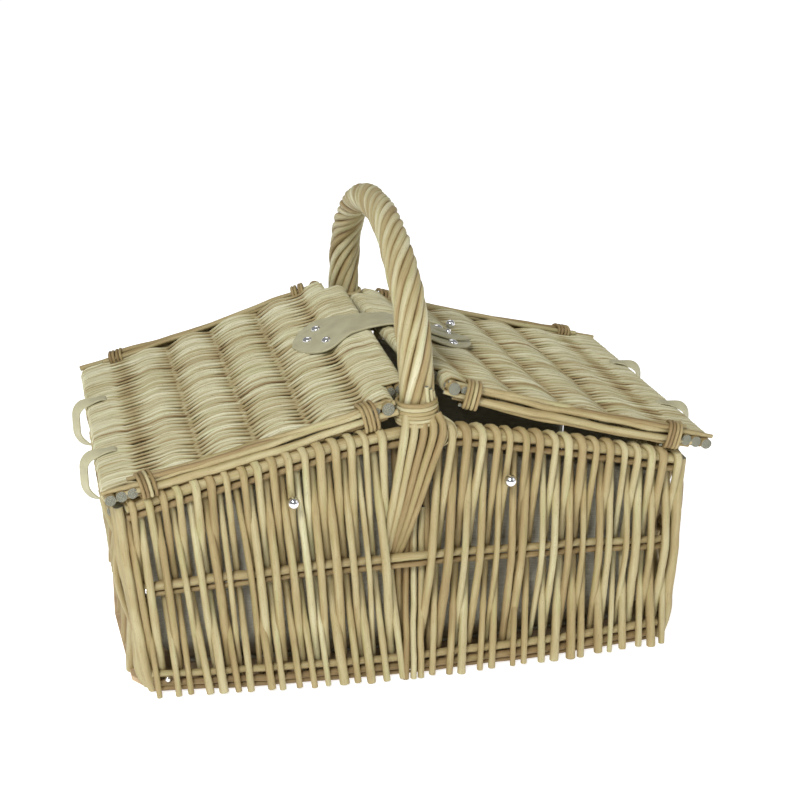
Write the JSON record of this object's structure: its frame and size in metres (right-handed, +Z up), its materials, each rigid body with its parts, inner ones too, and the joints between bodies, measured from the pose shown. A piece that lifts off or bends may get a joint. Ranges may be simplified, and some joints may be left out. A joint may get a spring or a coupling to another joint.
{
  "type": "wicker picnic basket",
  "caption": "Double-lidded willow picnic basket with bowed slatted walls, gabled rim, fixed twisted arch handle, hinged woven lids, leather strap and fabric lining.",
  "frame": {"origin": "on the floor under the middle of the base", "axes": "+X along the basket's length, +Y from the front wall to the rear wall, +Z up"},
  "size_m": [0.4966, 0.3274, 0.3576],
  "materials": {
    "willow": "satin, pale buff willow",
    "plywood": "matt, unvarnished",
    "leather": "matt, greige",
    "lining": "plain woven cloth",
    "chrome": "polished"
  },
  "bodies": {
    "basket": {"base_panel": "plywood", "bottom_band_rods": "willow", "mid_band_rods": "willow", "thin_rim_rods": "willow", "front_rim_rods": "willow", "rear_rim_rods": "willow", "left_rim_rod": "willow", "right_rim_rod": "willow", "corner_posts": "willow", "front_wall_stakes": "willow", "rear_wall_stakes": "willow", "left_wall_stakes": "willow", "right_wall_stakes": "willow", "handle_liners": "willow", "short_stakes": "willow", "handle_core": "willow", "handle_strands": "willow", "handle_collars": "willow", "front_foot_rods": "willow", "rear_foot_rods": "willow", "lining_floor": "lining", "lining_front": "lining", "lining_rear": "lining", "lining_left": "lining", "lining_right": "lining", "front_studs": "chrome", "rear_studs": "chrome", "left_hinge_loops": "leather", "right_hinge_loops": "leather"},
    "left_lid": {"left_lid_weave": "willow", "left_lid_end_rods": "willow", "left_lid_inner_rods": "willow", "left_lid_ribs": "willow", "left_lid_border_rods": "willow", "left_lid_bindings": "willow", "strap_patch": "leather", "strap_rivets": "chrome"},
    "right_lid": {"right_lid_weave": "willow", "right_lid_end_rods": "willow", "right_lid_inner_rods": "willow", "right_lid_ribs": "willow", "right_lid_border_rods": "willow", "right_lid_bindings": "willow", "keeper_patch": "leather", "keeper_rivets": "chrome", "keeper_stud": "chrome"},
    "strap": {"strap_tongue": "leather"}
  },
  "joints": [
    {"name": "left_lid_hinge", "type": "hinge", "parent": "basket", "child": "left_lid", "pos_m": [-0.24, 0, 0.1625], "axis": [0, -1, 0], "range_deg": [0, 180], "deforming": ["left_hinge_loops"]},
    {"name": "right_lid_hinge", "type": "hinge", "parent": "basket", "child": "right_lid", "pos_m": [0.24, 0, 0.1625], "axis": [0, 1, 0], "range_deg": [0, 180], "deforming": ["right_hinge_loops"]},
    {"name": "strap_fold", "type": "hinge", "parent": "left_lid", "child": "strap", "pos_m": [-0.0286, 0.016, 0.2368], "axis": [0, -1, 0], "range_deg": [0, 150], "deforming": ["strap_tongue"]}
  ]
}
